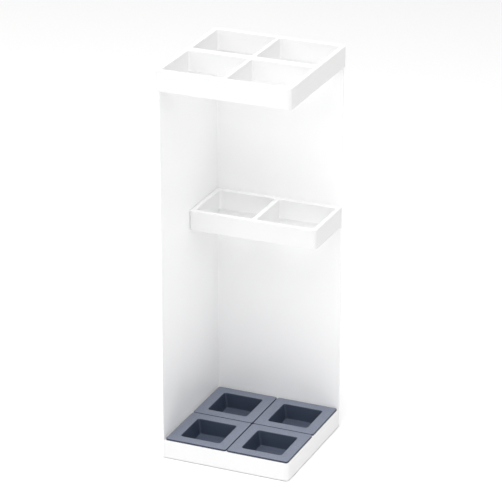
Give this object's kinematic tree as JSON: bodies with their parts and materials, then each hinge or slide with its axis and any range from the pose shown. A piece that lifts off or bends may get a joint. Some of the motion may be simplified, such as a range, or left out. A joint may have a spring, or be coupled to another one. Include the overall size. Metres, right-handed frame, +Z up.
{
  "type": "umbrella stand",
  "caption": "Upright square umbrella stand: bent sheet wall on two sides, gridded top frame, half-depth middle frame, base tray with lift-out drip cups.",
  "frame": {"origin": "centre of the footprint, on the floor under the feet", "axes": "+Z up, +Y to the back wall, +X to the open right side"},
  "size_m": [0.1696, 0.1696, 0.5],
  "materials": {
    "panel": "satin white powder coat",
    "frame": "matte white",
    "cup": "matte slate blue-grey",
    "screw": "plated",
    "foot": "matte black"
  },
  "bodies": {
    "stand": {"wall_panel": "panel", "top_frame": "frame", "middle_frame": "frame", "base_tray": "frame", "base_screws": "screw", "middle_frame_screws": "screw", "top_frame_screws": "screw", "foot_front_left": "foot", "foot_front_right": "foot", "foot_rear_left": "foot", "foot_rear_right": "foot"},
    "drip_cup_front_left": {"drip_cup_front_left": "cup"},
    "drip_cup_front_right": {"drip_cup_front_right": "cup"},
    "drip_cup_rear_left": {"drip_cup_rear_left": "cup"},
    "drip_cup_rear_right": {"drip_cup_rear_right": "cup"}
  },
  "joints": [
    {"name": "drip_cup_front_left_lift", "type": "slide", "parent": "stand", "child": "drip_cup_front_left", "axis": [0, 0, 1], "range_m": [0, 0.06]},
    {"name": "drip_cup_front_right_lift", "type": "slide", "parent": "stand", "child": "drip_cup_front_right", "axis": [0, 0, 1], "range_m": [0, 0.06]},
    {"name": "drip_cup_rear_left_lift", "type": "slide", "parent": "stand", "child": "drip_cup_rear_left", "axis": [0, 0, 1], "range_m": [0, 0.06]},
    {"name": "drip_cup_rear_right_lift", "type": "slide", "parent": "stand", "child": "drip_cup_rear_right", "axis": [0, 0, 1], "range_m": [0, 0.06]}
  ]
}
